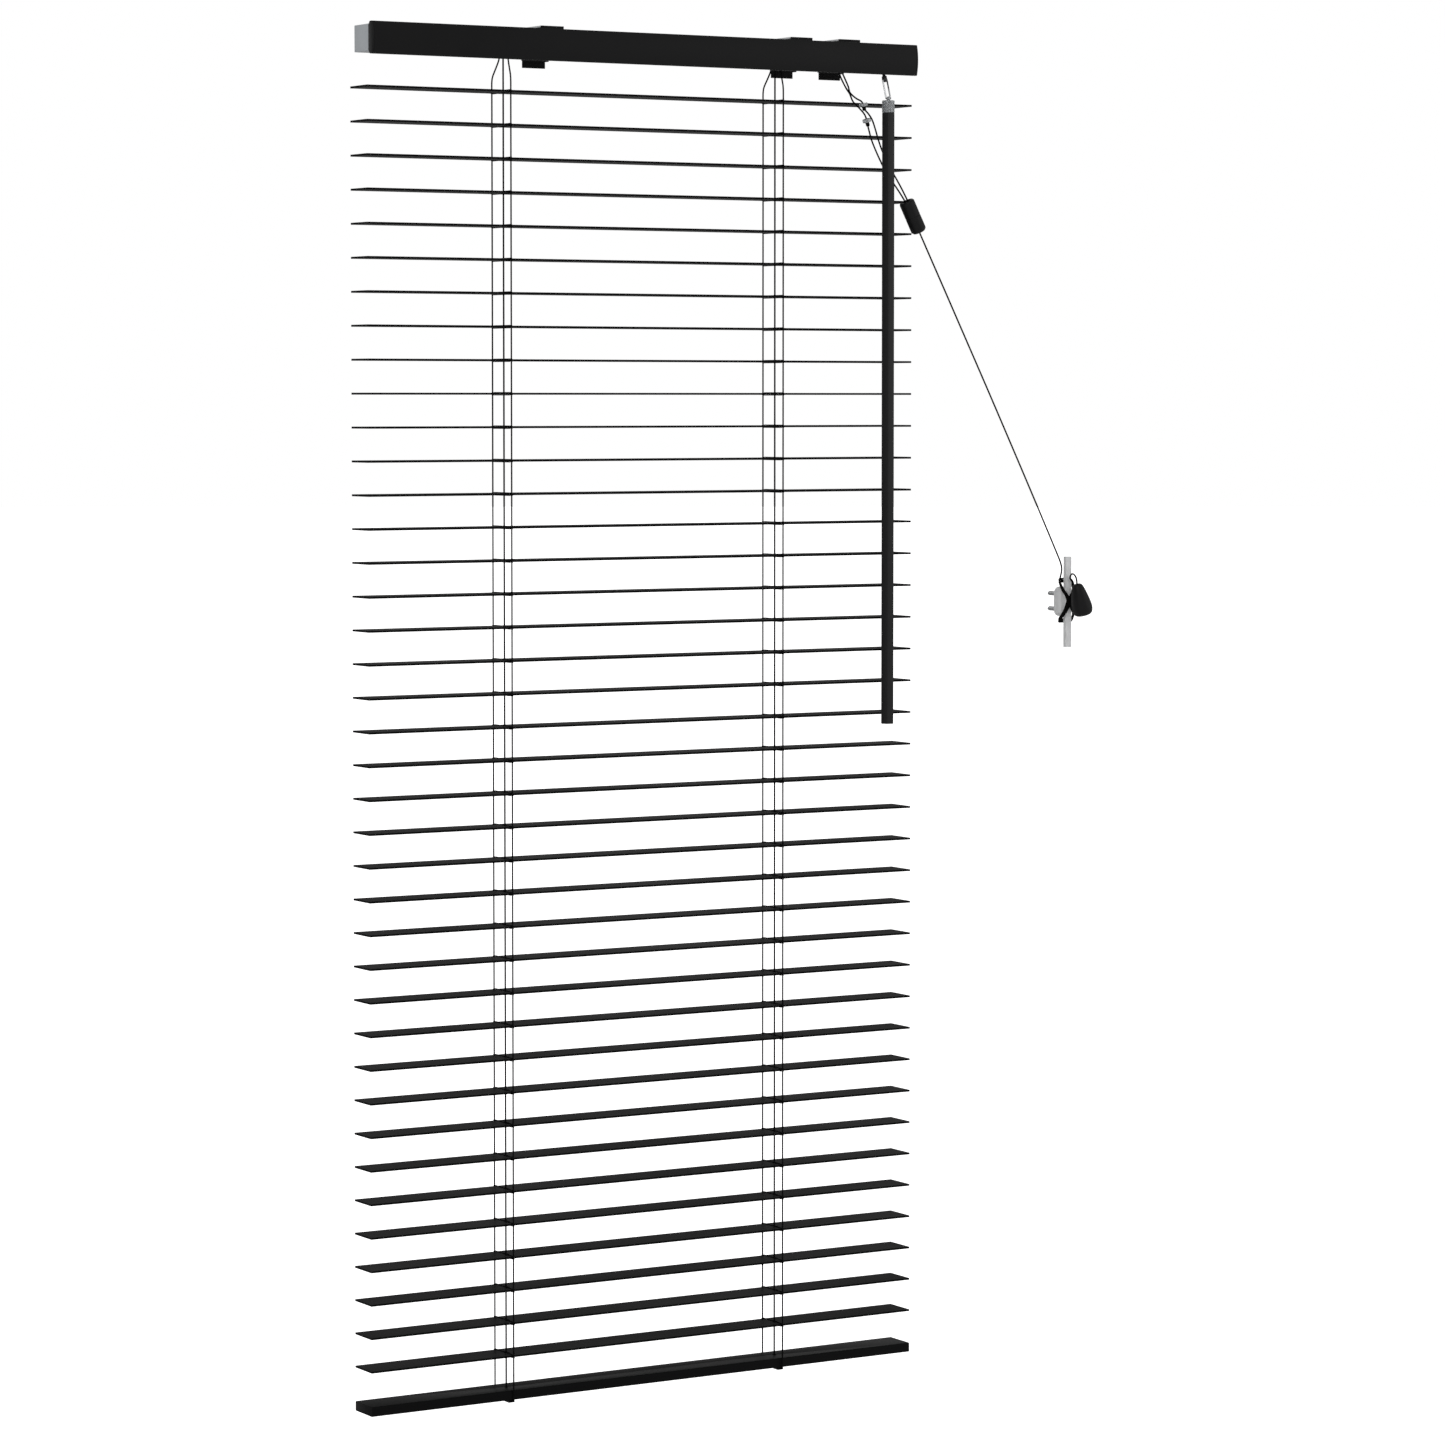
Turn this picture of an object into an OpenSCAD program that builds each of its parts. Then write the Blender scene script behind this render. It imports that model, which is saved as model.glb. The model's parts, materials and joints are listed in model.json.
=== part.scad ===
// Corded venetian blind, 39 flat slats, hung from three top brackets.
// X runs along the slats, to the right seen from the room; -Y faces the room; +Z is up.
// The origin is the centre of the left bracket's two screw holes, on the bracket's top face.
// Y = 0 is the plane of the slats' own tilt axes.

/* [Slats] */
// Length of every slat, of the valance and of the bottom rail
blind_w = 430.6; // [400:0.1:470]
// Depth of a slat, front edge to back edge
slat_d = 25; // [24.6:0.1:25]
// Thickness of a slat
slat_t = 1.35; // [0.6:0.05:1.6]
// Height from one slat to the next
slat_pitch = 22.645; // [22.6:0.005:24]
// Height of the top slat's centre
slat_top_z = -44.6; // [-46:0.1:-44]
// Length across the slat of the hole that the lift cord passes
route_hole_l = 8; // [7.6:0.1:10]
// Width of that hole
route_hole_w = 2.8; // [2.4:0.1:4]

/* [Bottom rail] */
// Height of the bottom rail
rail_h = 6.65; // [5:0.05:9]
// Height of the bottom rail's centre
rail_z = -931.9; // [-936:0.1:-930]

/* [Head rail] */
// Depth of the head rail, front face to back face
head_d = 25.2; // [25:0.1:25.3]
// Height of the head rail
head_h = 17.8; // [17.6:0.1:18]
// Height of the head rail's bottom face
head_z = -21.2; // [-21.3:0.1:-21]
// Sheet thickness of the head rail
head_t = 0.8; // [0.6:0.1:0.8]
// How far the head rail stops short of the slats' ends
head_inset = 3; // [2:0.5:4]

/* [Brackets] */
// Width of a bracket
bracket_w = 17.6; // [16:0.2:19]
// Distance from the slats' left end to the left bracket
bracket_inset = 139.3; // [139:0.1:141]
// Distance from the left bracket to the middle one
bracket_2_x = 198.6; // [198:0.1:199]
// Distance from the left bracket to the right one
bracket_3_x = 238.1; // [238:0.1:240]
// Sheet thickness of a bracket
bracket_t = 1.2; // [1:0.1:1.2]
// Radius of a screw hole in a bracket
screw_hole_r = 2.1; // [1.6:0.1:2.4]
// Distance between a bracket's two screw holes
screw_spacing = 10; // [8:0.5:12]
// Distance from the slats' plane back to the wall
wall_y = 14.5; // [14.5:0.1:16]

/* [Ladders and cords] */
// Distance from a slat's end to the ladder
ladder_inset = 107.5; // [105:0.5:112]
// Distance from a ladder cord to the slats' centre plane
ladder_y = 13.5; // [13.4:0.1:13.8]
// Diameter of a ladder cord
ladder_cord_d = 1.1; // [0.8:0.1:1.2]
// Diameter of the lift and pull cords
cord_d = 1.2; // [1:0.1:1.3]
// How far the lift cord runs beside its ladder
lift_offset = 1.45; // [1:0.05:1.5]

/* [Tilter] */
// Height of the tilt rod
rod_z = -12; // [-12.2:0.1:-11.8]
// Distance of the tilt rod in front of the slats' plane
rod_front = 3.4; // [3.2:0.1:3.6]
// Radius of the hexagonal tilt rod, across its corners
rod_r = 2.3; // [2:0.1:2.3]
// Radius of a ladder drum's barrel
drum_r = 5.5; // [5:0.1:5.5]
// Position of the tilter along the rail, from the left bracket
tilter_x = 267; // [266:0.5:268]
// Lean of the worm from the vertical, in degrees
worm_lean = 19.2; // [19:0.1:19.6]
// Teeth on the tilt gear
gear_teeth = 10; // [10:1:10]

/* [Wand] */
// Height of the eye that the wand hangs from
wand_eye_z = -40.6; // [-40.8:0.1:-40]
// Distance of the wand in front of the slats' plane
wand_front = 19.5; // [19.4:0.1:19.8]
// Height of the wand rod's top
wand_top_z = -50.6; // [-52:0.1:-50]
// Height of the wand rod's bottom
wand_bottom_z = -481.9; // [-600:0.1:-300]
// Radius of the hexagonal wand rod, across its corners
wand_r = 4.9; // [3.5:0.1:5]

/* [Cleat] */
// Position of the cleat along the wall, from the left bracket
cleat_x = 438.5; // [420:0.5:460]
// Height of the cleat's centre
cleat_z = -400; // [-402:0.5:-398]
// Length of the cleat, tip to tip
cleat_l = 66.2; // [60:0.1:72]
// Distance between the cleat's two screws
cleat_screw_spacing = 11.2; // [11:0.1:12]

/* [Hidden] */
$fn = 48;
slat_count = 39;
clear = 0.05;

blind_x0 = -bracket_inset;
blind_x1 = blind_x0 + blind_w;
ladder_x = [blind_x0 + ladder_inset, blind_x1 - ladder_inset];
bracket_x = [0, bracket_2_x, bracket_3_x];
bracket_front = -14.3;

head_y0 = -13.1;
head_y1 = head_y0 + head_d;
head_top = head_z + head_h;
head_floor = head_z + head_t;
head_x0 = blind_x0 + head_inset;
head_x1 = blind_x1 - head_inset;
cap_t = 1.2;

rod_y = -rod_front;
rod_x0 = -110;
rod_x1 = 276;
drum_w = 5;
hub_r = 3.2;
cheek_t = 1.4;

wand_y = -wand_front;
worm_dir = [0, -sin(worm_lean), -cos(worm_lean)];
// The worm's line passes through the wand's eye, so its distance from the rod follows.
worm_gap = (rod_y - wand_y) * cos(worm_lean) - (rod_z - wand_eye_z) * sin(worm_lean);
worm_foot = [tilter_x, rod_y - worm_gap * cos(worm_lean), rod_z + worm_gap * sin(worm_lean)];
eye = [tilter_x, wand_y, wand_eye_z];
worm_reach = (worm_foot[2] - wand_eye_z) / cos(worm_lean);
worm_r = 2.35;
worm_core_r = 1.45;
worm_top = -3.2;
worm_end = 2.6;
mesh_depth = 0.55;
gear_r = worm_gap + mesh_depth - worm_r;
gear_root_r = gear_r - 0.95;
gear_w = 2.2;
gear_pitch_r = gear_r - mesh_depth / 2;
worm_lead = 2 * PI * gear_pitch_r / gear_teeth;
stem_r = 1.1;
loop_half = 1.8;
loop_wire_r = 0.5;

lock_x = [226, 238];
lock_y = [-12.2, -6.3];
roller = [230.2, -9.2, -15.9];
roller_r = 1.7;
roller_travel = 3;

// Routes of the cords, as points along each one.
lift_run_z = -19.1;
pull_left = [[234.5, -9, -22], [236, -11, -27], [238, -12.6, -33], [239, -13.2, -37],
    [243, -14.9, -41], [246.6, -16, -43], [248.2, -16.4, -45.4], [249.4, -16.4, -48.8],
    [252.5, -16, -51.5], [256, -15.4, -55.5], [259, -14.7, -61.5], [262, -14.1, -69],
    [265.5, -13.9, -77], [270.5, -13.9, -86.5], [275.5, -14.2, -94], [280, -16, -102.5],
    [283.5, -18, -110.5], [285, -18, -113.1]];
pull_right = [[232, -9, -22], [233.5, -10.6, -27.5], [236, -12.8, -34], [238, -14.4, -38],
    [240, -15.6, -43.4], [245, -16.2, -48], [249.2, -16.4, -52.3], [251.2, -16.2, -56.6],
    [253, -15.6, -62], [256, -15, -70], [260.5, -14.1, -78], [265.5, -13.9, -86.7],
    [270.5, -13.9, -94.4], [275.5, -14.4, -100.7], [279, -16.4, -106.7],
    [281.5, -18, -111.6], [282.9, -18, -114.2]];
pull_single = [[293.7, -18, -132.4], [295.8, -17.8, -136.4], [322.5, -13.6, -181.5],
    [372.5, -6.1, -267], [428.6, 2.2, -365.4], [433, 3.2, -375], [434.8, 4, -381],
    [434.9, 4, -386]];
tail = [[438.5, 0.5, -386], [438.5, 0.3, -382.6], [438.4, -0.8, -380.4], [438.2, -3, -379.4],
    [438, -5.5, -379.8], [438, -7.6, -381.4], [438, -8.8, -384], [438.1, -9, -387.6]];
condenser_top = [283.2, -18, -112.3];
condenser_end = [294.4, -18, -133.8];
tassel_top = [438, -9, -386.6];
tassel_end = [444.2, -9, -409.5];

function two_digits(i) = i < 10 ? str("0", i) : str(i);
function slat_name(i) = str("slat_", two_digits(i));
function slat_z(i) = slat_top_z - (i - 1) * slat_pitch;

// ---- shared shapes ----

function unit(v) = v / norm(v);
function tangent(p, i) = unit(p[min(i + 1, len(p) - 1)] - p[max(i - 1, 0)]);
function side_of(p, i) =
    let (t = tangent(p, i),
         last = i == 0 ? (abs(t[1]) < 0.9 ? [0, 1, 0] : [1, 0, 0]) : side_of(p, i - 1))
    unit(last - (last * t) * t);

// A cord of diameter d along the points p.
module cord(p, d, sides = 8) {
    n = len(p);
    rings = [for (i = [0 : n - 1])
        let (t = tangent(p, i), a = side_of(p, i), b = cross(t, a))
        for (k = [0 : sides - 1])
            p[i] + (a * cos(k * 360 / sides) + b * sin(k * 360 / sides)) * d / 2];
    walls = [for (i = [0 : n - 2], k = [0 : sides - 1])
        let (m = (k + 1) % sides)
        [i * sides + k, (i + 1) * sides + k, (i + 1) * sides + m, i * sides + m]];
    low_end = [for (k = [0 : sides - 1]) k];
    high_end = [for (k = [0 : sides - 1]) n * sides - 1 - k];
    polyhedron(rings, concat(walls, [low_end, high_end]));
}

// Stands children built along +Z so that they run from one point towards another.
module aim(from, to) {
    d = to - from;
    translate(from)
        rotate([0, acos(d[2] / norm(d)), atan2(d[1], d[0])])
            children();
}

// Extrudes a side view, drawn as [y, z], along X.
module bar(x0, x1) {
    translate([x0, 0, 0])
        rotate([90, 0, 90])
            linear_extrude(x1 - x0)
                children();
}

module block(low, high) {
    translate(low)
        cube(high - low);
}

module rod_x(x0, x1, r, y, z, fn = 48) {
    translate([x0, y, z])
        rotate([0, 90, 0])
            cylinder(h = x1 - x0, r = r, $fn = fn);
}

module on_worm() {
    translate(worm_foot)
        rotate([180 - worm_lean, 0, 0])
            children();
}

// ---- slats and bottom rail ----

module plate_section(d, h, edge) {
    polygon([[-d / 2 + edge, -h / 2], [d / 2 - edge, -h / 2], [d / 2, -h / 2 + edge],
        [d / 2, h / 2 - edge], [d / 2 - edge, h / 2], [-d / 2 + edge, h / 2],
        [-d / 2, h / 2 - edge], [-d / 2, -h / 2 + edge]]);
}

module route_hole(h) {
    reach = (route_hole_l - route_hole_w) / 2;
    translate([-route_hole_w / 2, -reach, -h / 2])
        cube([route_hole_w, 2 * reach, h]);
    for (s = [-1, 1])
        translate([0, s * reach, -h / 2])
            cylinder(h = h, r = route_hole_w / 2);
}

module slat(i) {
    color("#262626")
        translate([0, 0, slat_z(i)])
            difference() {
                bar(blind_x0, blind_x1)
                    plate_section(slat_d, slat_t, slat_t / 5);
                for (x = ladder_x)
                    translate([x + lift_offset, 0, 0])
                        route_hole(slat_t + 1);
            }
}

module bottom_rail() {
    wall = 1.2;
    color("#262626")
        difference() {
            translate([0, 0, rail_z])
                difference() {
                    bar(blind_x0, blind_x1)
                        plate_section(slat_d, rail_h, 0.6);
                    bar(blind_x0 + 1.6, blind_x1 - 1.6)
                        plate_section(slat_d - 2 * wall, rail_h - 2 * wall, 0.2);
                }
            for (x = ladder_x)
                translate([x + lift_offset, 0, rail_z])
                    cylinder(h = rail_h, r = 1.6);
        }
    color("#151515")
        for (x = ladder_x)
            translate([x, 0, rail_z - rail_h / 2])
                ladder_clip();
}

// Channel under the bottom rail that holds the ladder's two ends.
module ladder_clip() {
    difference() {
        block([-3, -12, -1.7], [1.5, 12, 0]);
        block([-0.75, -13, -1.4], [0.75, 13, 1]);
    }
}

// ---- head rail and what closes it ----

module head_section() {
    lip = 3;
    difference() {
        polygon([[head_y0, head_z], [head_y1, head_z], [head_y1, head_top], [head_y0, head_top]]);
        polygon([[head_y0 + head_t, head_floor], [head_y1 - head_t, head_floor],
            [head_y1 - head_t, head_top - head_t], [head_y0 + head_t, head_top - head_t]]);
        polygon([[head_y0 + lip, head_top - head_t - 1], [head_y1 - lip, head_top - head_t - 1],
            [head_y1 - lip, head_top + 1], [head_y0 + lip, head_top + 1]]);
    }
}

module head_rail() {
    color("#9a9fa3")
        difference() {
            bar(head_x0 + cap_t, head_x1 - cap_t)
                head_section();
            // Floor openings for the ladders and lift cords
            for (x = ladder_x)
                block([x - 3, -11, head_z - 1], [x + 3, 4.6, head_floor + 1]);
            // Corner opening for the tilter's stem
            block([tilter_x - 3, head_y0 - 1, head_z - 1], [tilter_x + 3, -8.5, head_floor + 5.8]);
            // Floor opening for the cord lock's spout
            block([230, -11.7, head_z - 1], [237, -6.5, head_floor + 1]);
        }
}

module rail_end_cap() {
    plug = 5;
    gap = 0.1;
    block([0, head_y0, head_z], [cap_t, head_y1, head_top]);
    difference() {
        block([cap_t, head_y0 + head_t + gap, head_floor + gap],
            [cap_t + plug, head_y1 - head_t - gap, head_top - head_t - gap]);
        block([cap_t - 1, head_y0 + head_t + 1.5, head_floor + 1.5],
            [cap_t + plug + 1, head_y1 - head_t - 1.5, head_top - head_t - 1.5]);
    }
}

module rail_end_caps() {
    color("#9a9fa3") {
        translate([head_x0, 0, 0])
            rail_end_cap();
        translate([head_x1, 0, 0])
            mirror([1, 0, 0])
                rail_end_cap();
    }
}

// Outline of the valance: flat back, sloped corners and a bowed front.
function valance_outline(inset) =
    let (top = -2.25 - inset, bottom = -23.8 + inset, back = bracket_front - inset,
         edge_y = -19.4 + inset, bow = 1.5, half = (top - bottom) / 2,
         r = (half * half + bow * bow) / (2 * bow), spread = asin(half / r))
    concat([[back, bottom + 2.5], [back, top - 2.5], [back - 2 + inset * 0.6, top]],
        [for (k = [0 : 12])
            let (a = spread * (1 - k / 6))
            [edge_y - bow + r * (1 - cos(a)), (top + bottom) / 2 + r * sin(a)]],
        [[back - 2 + inset * 0.6, bottom]]);

module valance() {
    color("#232323") {
        difference() {
            bar(blind_x0 + cap_t, blind_x1 - cap_t)
                polygon(valance_outline(0));
            bar(blind_x0, blind_x1)
                polygon(valance_outline(1.2));
        }
        for (x = [blind_x0, blind_x1 - cap_t])
            bar(x, x + cap_t)
                polygon(valance_outline(0));
    }
}

// ---- brackets ----

module mounting_bracket() {
    half = bracket_w / 2;
    plate_front = bracket_front + 1.15;
    difference() {
        union() {
            block([-half, plate_front, -bracket_t], [half, wall_y, 0]);
            block([-half, wall_y - bracket_t, -22], [half, wall_y, 0]);
        }
        for (s = [-1, 1])
            translate([0, s * screw_spacing / 2, -bracket_t - 1])
                cylinder(h = bracket_t + 2, r = screw_hole_r);
    }
}

module mounting_brackets() {
    color("#b9bcbe")
        for (x = bracket_x)
            translate([x, 0, 0])
                mounting_bracket();
}

// Front hook over the rail's front lip, and rear catch under its back edge.
module bracket_catch() {
    half = bracket_w / 2;
    gap = 0.05;
    block([-half, bracket_front + gap, -6], [half, head_y0 - gap, 0]);
    block([-half, head_y0 - 0.2, head_top + gap], [half, -8, -bracket_t - gap]);
    block([-half, head_y1 + gap, -27], [half, wall_y - bracket_t - gap, -bracket_t - gap]);
    block([-half, 7, head_z - 1.4], [half, head_y1 + 0.2, head_z - gap]);
}

module bracket_catches() {
    color("#1d1d1d")
        for (x = bracket_x)
            translate([x, 0, 0])
                bracket_catch();
}

// ---- moulded pieces inside the head rail ----

// Cradle: two cheeks with bearings for the drum's hubs, and a guide under the lift cord.
module drum_cradle() {
    base_t = 0.5;
    inner = drum_w / 2 + 0.4;
    difference() {
        union() {
            block([-inner - cheek_t, -12, head_floor], [inner + cheek_t, 10, head_floor + base_t]);
            for (s = [-1, 1])
                translate([s * (inner + cheek_t / 2) - cheek_t / 2, 0, 0])
                    block([0, rod_y - 5, head_floor], [cheek_t, rod_y + 5, rod_z + 5]);
        }
        rod_x(-inner - cheek_t - 1, inner + cheek_t + 1, hub_r + clear, rod_y, rod_z);
        // Openings for the two ladder cords and the lift cord
        block([-1.6, -11, head_floor - 1], [1.6, 4.6, head_floor + base_t + 1]);
        block([0, -1.2, head_floor - 1], [inner + cheek_t + 1, 1.2, head_floor + 2.6]);
    }
}

module tilter_housing() {
    inner = gear_w / 2 + 0.35;
    difference() {
        block([tilter_x - 4.6, lock_y[0], head_floor + clear], [tilter_x + 4.6, 4.4, -4.4]);
        rod_x(tilter_x - inner, tilter_x + inner, gear_r + 0.5, rod_y, rod_z);
        rod_x(tilter_x - 8, tilter_x + 8, hub_r + clear, rod_y, rod_z);
        on_worm() {
            translate([0, 0, worm_top - 0.3])
                cylinder(h = worm_end - worm_top + 0.6, r = worm_r + 0.25);
            translate([0, 0, worm_top - 1])
                cylinder(h = 6, r = worm_core_r + clear);
            cylinder(h = 40, r = stem_r + clear);
        }
    }
}

// The roller's slot rises away from the cords.
module roller_slot() {
    slot_r = roller_r + 0.12;
    for (travel = [0, roller_travel])
        translate([roller[0] - 0.8 * travel, -13, roller[2] + 0.6 * travel])
            rotate([-90, 0, 0])
                cylinder(h = 8, r = slot_r);
    translate([roller[0], -13, roller[2]])
        rotate([0, 180 + atan2(3, 4), 0])
            translate([0, 0, -slot_r])
                cube([roller_travel, 8, 2 * slot_r]);
}

module cord_lock() {
    difference() {
        block([lock_x[0], lock_y[0], head_floor + clear], [lock_x[1], lock_y[1], -9]);
        // Cord passage from the rail to the spout
        block([lock_x[0] - 1, -11, head_floor - 1], [lock_x[1] - 1.4, -7.3, -17]);
        block([roller[0] - 4.3, -11, -18], [roller[0] + 2.2, -7.3, -12]);
        roller_slot();
    }
    // Spout round the cords' way out
    difference() {
        block([230.2, -11.5, head_z - 0.7], [236.8, -6.7, head_floor + 0.3]);
        block([231, -10.7, head_z - 2], [236, -7.4, head_floor + 1]);
    }
}

module rail_inserts() {
    color("#c8cacc") {
        for (x = ladder_x)
            translate([x, 0, 0])
                drum_cradle();
        tilter_housing();
        cord_lock();
    }
}

module lock_roller() {
    color("#b08d4a")
        translate([roller[0], roller[1] - 2.8, roller[2]])
            rotate([-90, 0, 0])
                cylinder(h = 5.5, r = roller_r);
}

// ---- tilt drive ----

module tilt_rod() {
    color("#8f9396")
        rod_x(rod_x0, rod_x1, rod_r, rod_y, rod_z, fn = 6);
}

module hex_bore(x0, x1) {
    rod_x(x0, x1, rod_r + 0.02, rod_y, rod_z, fn = 6);
}

module ladder_drum() {
    hub_l = drum_w / 2 + 0.4 + cheek_t;
    rod_x(-drum_w / 2, drum_w / 2, drum_r, rod_y, rod_z);
    rod_x(-hub_l, hub_l, hub_r, rod_y, rod_z);
}

module ladder_drums() {
    color("#c8cacc")
        difference() {
            for (x = ladder_x)
                translate([x, 0, 0])
                    ladder_drum();
            hex_bore(rod_x0 - 1, rod_x1 + 1);
        }
}

module tilt_gear() {
    tip = 0.55;
    root = 1.0;
    color("#dedede")
        difference() {
            union() {
                rod_x(tilter_x - gear_w / 2, tilter_x + gear_w / 2, gear_root_r, rod_y, rod_z);
                rod_x(tilter_x - 4.4, tilter_x + 4.4, hub_r, rod_y, rod_z);
                translate([0, rod_y, rod_z])
                    for (k = [0 : gear_teeth - 1])
                        rotate([k * 360 / gear_teeth + 180 - worm_lean, 0, 0])
                            bar(tilter_x - gear_w / 2, tilter_x + gear_w / 2)
                                polygon([[gear_root_r - 0.3, -root / 2],
                                    [gear_r, -tip / 2], [gear_r, tip / 2],
                                    [gear_root_r - 0.3, root / 2]]);
            }
            hex_bore(rod_x0 - 1, rod_x1 + 1);
        }
}

// Single-start thread: a ridge that climbs by one lead per turn round the core.
module worm_thread() {
    l = worm_end - worm_top;
    turn = 360 * l / worm_lead;
    // At the foot the gap between two turns faces the gear.
    start = 90 + 360 * worm_top / worm_lead;
    tip = 38;
    root = 74;
    ridge = concat([[-0.4, 0]], [worm_core_r * 0.9 * [cos(-root), sin(-root)]],
        [for (k = [-3 : 3]) worm_r * [cos(tip * k / 3), sin(tip * k / 3)]],
        [worm_core_r * 0.9 * [cos(root), sin(root)]]);
    translate([0, 0, worm_top])
        rotate([0, 0, start])
            linear_extrude(l, twist = -turn, slices = 36)
                polygon(ridge);
}

// Wire loop that joins the worm's stem to the wand's eye.
module wire_loop() {
    top = worm_reach - 14.6;
    for (s = [-1, 1]) {
        translate([s * loop_half, 0, top])
            cylinder(h = worm_reach - top, r = loop_wire_r, $fn = 16);
        for (z = [top, worm_reach])
            translate([s * loop_half, 0, z])
                sphere(r = loop_wire_r, $fn = 16);
    }
    for (z = [top, worm_reach])
        translate([-loop_half, 0, z])
            rotate([0, 90, 0])
                cylinder(h = 2 * loop_half, r = loop_wire_r, $fn = 16);
}

module tilt_worm() {
    color("#2a2a2a")
        on_worm() {
            translate([0, 0, worm_top - 0.9])
                cylinder(h = worm_end - worm_top + 1, r = worm_core_r);
            worm_thread();
            cylinder(h = worm_reach - 13, r = stem_r);
            translate([0, 0, worm_reach - 16.6])
                cylinder(h = 3.6, r = 1.8);
            wire_loop();
        }
}

// ---- wand ----

module wand_connector() {
    body_r = 4.3;
    body_top = -42;
    neck_r = 1.45;
    neck_t = 1.2;
    color("#d4d6d8")
        translate([eye[0], eye[1], 0]) {
            translate([0, 0, wand_top_z])
                cylinder(h = body_top - wand_top_z, r = body_r);
            difference() {
                union() {
                    block([-neck_t / 2, -neck_r, body_top - 0.5], [neck_t / 2, neck_r, eye[2]]);
                    rod_x(-neck_t / 2, neck_t / 2, neck_r, 0, eye[2]);
                }
                rod_x(-neck_t, neck_t, 0.85, 0, eye[2]);
            }
        }
}

module tilt_wand() {
    color("#262626")
        translate([eye[0], eye[1], wand_bottom_z])
            cylinder(h = wand_top_z - wand_bottom_z, r = wand_r, $fn = 6);
}

// ---- ladders and cords ----

// Route of one ladder cord, off the drum, out of the rail, down past the slats and under the rail.
function ladder_route(x, side) =
    let (y = side * ladder_y, out = side < 0 ? rod_y - 6.25 : rod_y + 6.25,
         low = rail_z - rail_h / 2)
    [[x, out, rod_z], [x, out, head_z - 0.3], [x, out + (y - out) * 0.12, head_z - 3],
     [x, out + (y - out) * 0.5, head_z - 7.8], [x, out + (y - out) * 0.9, head_z - 12.8],
     [x, y, head_z - 16.5], [x, y, low + 1.5], [x, y - side * 0.2, low - 0.1],
     [x, y - side * 1, low - 0.75], [x, y - side * 2, low - 0.75], [x, side * 0.5, low - 0.75]];

module ladder_cords(side) {
    color("#1a1a1a")
        for (x = ladder_x)
            cord(ladder_route(x, side), ladder_cord_d);
}

// The left cord passes behind the right drum on its way to the lock.
function lift_left_route() =
    let (x = ladder_x[0] + lift_offset)
    [[x, 0, rail_z + 1], [x, 0, -20.9], [x + 0.3, 0, -20], [x + 1, 0, -19.3],
     [x + 2.2, 0, lift_run_z], [172, 6, lift_run_z], [196, 6, lift_run_z],
     [220, -7.4, lift_run_z], [224.5, -8.3, lift_run_z], [231.6, -8.4, lift_run_z],
     [233.3, -8.5, -19.5], [234.3, -8.8, -20.6], [234.5, -9, -22]];

function lift_right_route() =
    let (x = ladder_x[1] + lift_offset)
    [[x, 0, rail_z + 1], [x, 0, -20.9], [x + 0.3, 0, -20], [x + 1, 0, -19.3],
     [x + 2.2, 0, lift_run_z], [191, -0.4, lift_run_z], [219, -9.2, lift_run_z],
     [223, -9.8, lift_run_z], [229.4, -9.8, lift_run_z], [230.9, -9.7, -19.5],
     [231.8, -9.3, -20.6], [232, -9, -22]];

module lift_cords() {
    color("#1a1a1a") {
        cord(lift_left_route(), cord_d);
        cord(lift_right_route(), cord_d);
    }
}

module pull_cords() {
    color("#1a1a1a")
        for (route = [pull_left, pull_right, pull_single, tail])
            cord(route, cord_d);
}

// ---- what is on the cords ----

module cord_stop(at, towards) {
    aim(at, towards)
        translate([0, 0, -1.1])
            cylinder(h = 2.2, r = 3);
}

module condenser() {
    l = norm(condenser_end - condenser_top);
    r = 5.5;
    aim(condenser_top, condenser_end) {
        cylinder(h = 1.5, r1 = r - 1.2, r2 = r);
        translate([0, 0, 1.5])
            cylinder(h = l - 3, r = r);
        translate([0, 0, l - 1.5])
            cylinder(h = 1.5, r1 = r, r2 = r - 1.2);
    }
}

module tassel() {
    l = norm(tassel_end - tassel_top);
    aim(tassel_top, tassel_end) {
        cylinder(h = 2, r1 = 2.6, r2 = 3.5);
        translate([0, 0, 2])
            cylinder(h = 6, r1 = 3.5, r2 = 4.6);
        translate([0, 0, 8])
            cylinder(h = l - 11, r1 = 4.6, r2 = 7.75);
        translate([0, 0, l - 3])
            cylinder(h = 3, r = 7.75);
    }
}

module cord_pendants() {
    color("#1c1c1c") {
        condenser();
        tassel();
    }
    color("#e0e2e4") {
        cord_stop([248.2, -16.4, -45.4], [248.8, -16.4, -48]);
        cord_stop([251.1, -16.2, -56.4], [252, -16, -59]);
    }
}

// ---- cleat ----

module upright_oval(r, z0, z1, y0, y1) {
    translate([-r, y0, z0 + r])
        cube([2 * r, y1 - y0, z1 - z0 - 2 * r]);
    for (z = [z0 + r, z1 - r])
        translate([0, y0, z])
            rotate([-90, 0, 0])
                cylinder(h = y1 - y0, r = r);
}

module cleat_body(grow) {
    upright_oval(4.5 + grow, -10.85 - grow, 10.85 + grow, 5 - grow, wall_y);
    horn_half = 2.45 + grow;
    block([-horn_half, 1.9 - grow, -cleat_l / 2 - grow],
        [horn_half, 5.3 + grow, cleat_l / 2 + grow]);
}

// The screws' heads and upper shanks are one with the cleat; their lower shanks stand out behind.
module cord_cleat() {
    screw_r = 1.3;
    screw_reach = 12.6;
    sunk = 0.5;
    translate([cleat_x, 0, cleat_z]) {
        color("#c9cccf")
            cleat_body(0);
        color("#8c8f92")
            for (s = [-1, 1])
                translate([0, wall_y - sunk, s * cleat_screw_spacing / 2])
                    rotate([-90, 0, 0])
                        cylinder(h = screw_reach + sunk, r = screw_r);
    }
}

module cleat_winding() {
    color("#1a1a1a")
        translate([cleat_x, 0, cleat_z])
            difference() {
                upright_oval(5.5, -15, 18, -0.6, 11);
                cleat_body(0.3);
            }
}

// ---- the parts ----

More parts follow.
